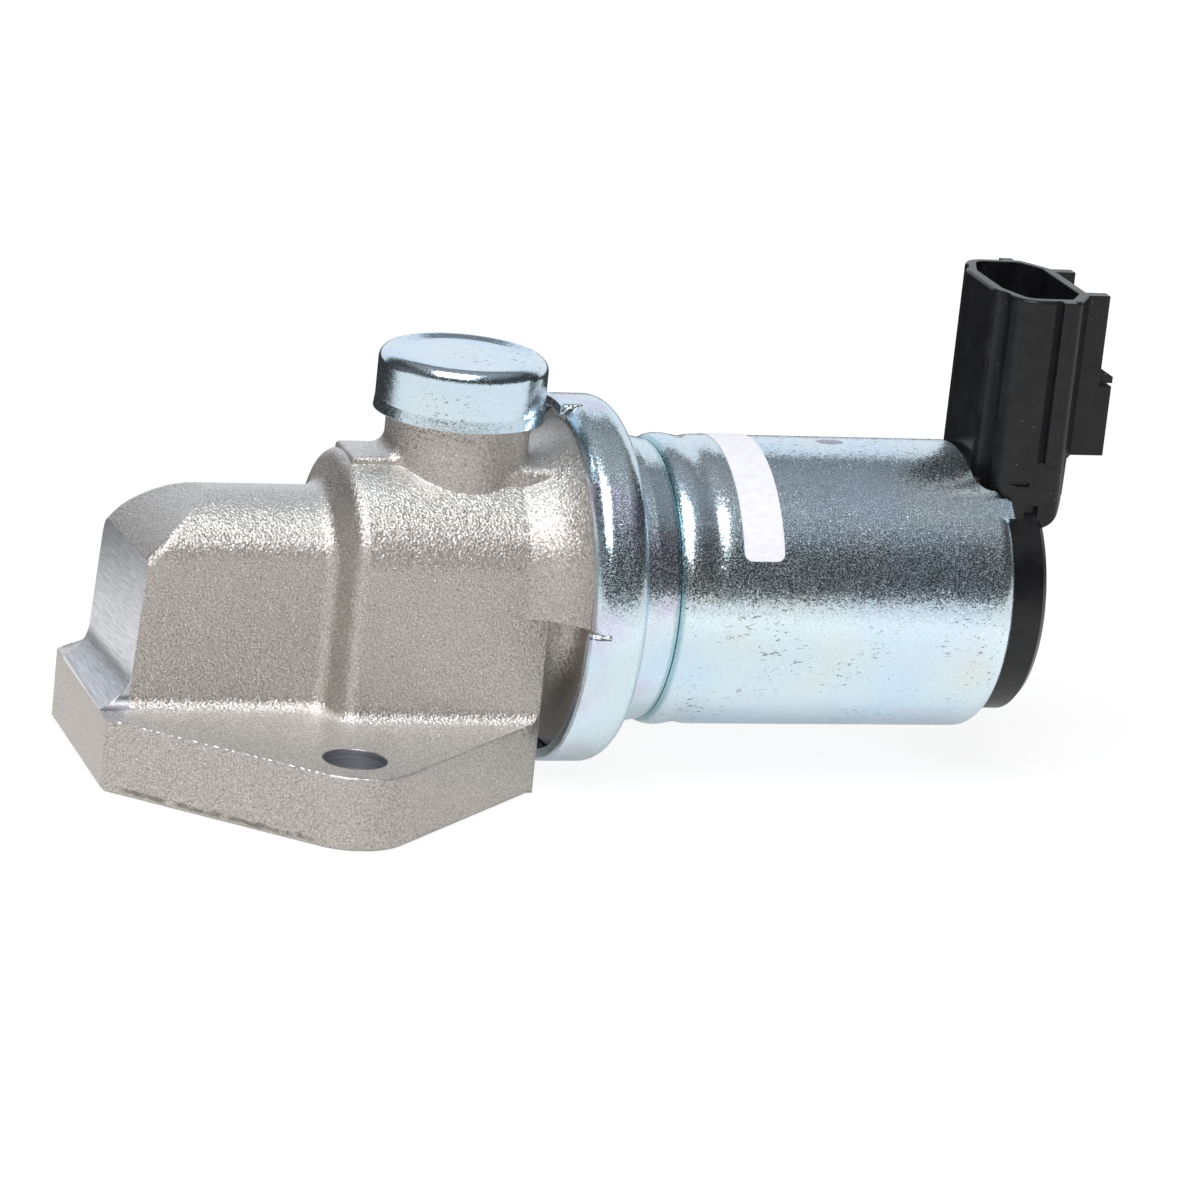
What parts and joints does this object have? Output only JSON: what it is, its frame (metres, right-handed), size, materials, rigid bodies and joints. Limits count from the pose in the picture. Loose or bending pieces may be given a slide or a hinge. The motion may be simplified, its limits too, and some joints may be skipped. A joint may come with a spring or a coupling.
{
  "type": "idle air control valve",
  "caption": "Flanged idle air control valve: cast body with a vent cap, a crimped solenoid can and an upright plug socket.",
  "frame": {"origin": "middle of the mounting face, between the bolt holes", "axes": "+Z out of the engine, away from the mounting face; +X along the valve's axis from the cast body to the plug socket"},
  "size_m": [0.1233, 0.0704, 0.061],
  "materials": {
    "cast_body": "die cast, blasted",
    "zinc_cap": "zinc plated, drawn",
    "zinc_shell": "zinc plated, turned",
    "zinc_can": "zinc plated",
    "zinc_steel": "zinc plated",
    "filter_foam": "open-cell foam",
    "brass": "turned brass",
    "machined_aluminium": "turned",
    "steel": "ground",
    "spring_steel": "bright drawn wire",
    "seal_rubber": "moulded",
    "bobbin_plastic": "glass-filled nylon",
    "copper_wire": "enamelled",
    "tinned_contact": "tin plated",
    "black_plastic": "glass-filled nylon, moulded",
    "paper": "blank coated label"
  },
  "bodies": {
    "housing": {"valve_body": "cast_body", "vent_cap": "zinc_cap", "vent_filter": "filter_foam", "valve_seat": "brass", "return_spring": "spring_steel", "front_plate": "zinc_steel", "guide_bush": "brass", "body_seal": "seal_rubber", "front_shell": "zinc_shell", "solenoid_can": "zinc_can", "coil_bobbin": "bobbin_plastic", "coil_winding": "copper_wire", "armature_sleeve": "steel", "pole_core": "steel", "core_shim": "brass", "terminal_front": "tinned_contact", "terminal_back": "tinned_contact", "rear_plate": "zinc_steel", "connector_housing": "black_plastic", "label_strip": "paper"},
    "plunger": {"valve_stem": "steel", "valve_poppet": "machined_aluminium", "face_seal": "seal_rubber", "stem_clip": "steel", "armature": "steel"}
  },
  "joints": [
    {"name": "plunger_slide", "type": "slide", "parent": "housing", "child": "plunger", "axis": [1, 0, 0], "range_m": [0, 0.005], "stiffness_N_per_m": 480, "springref_m": -0.006, "deforming": ["return_spring"]}
  ]
}
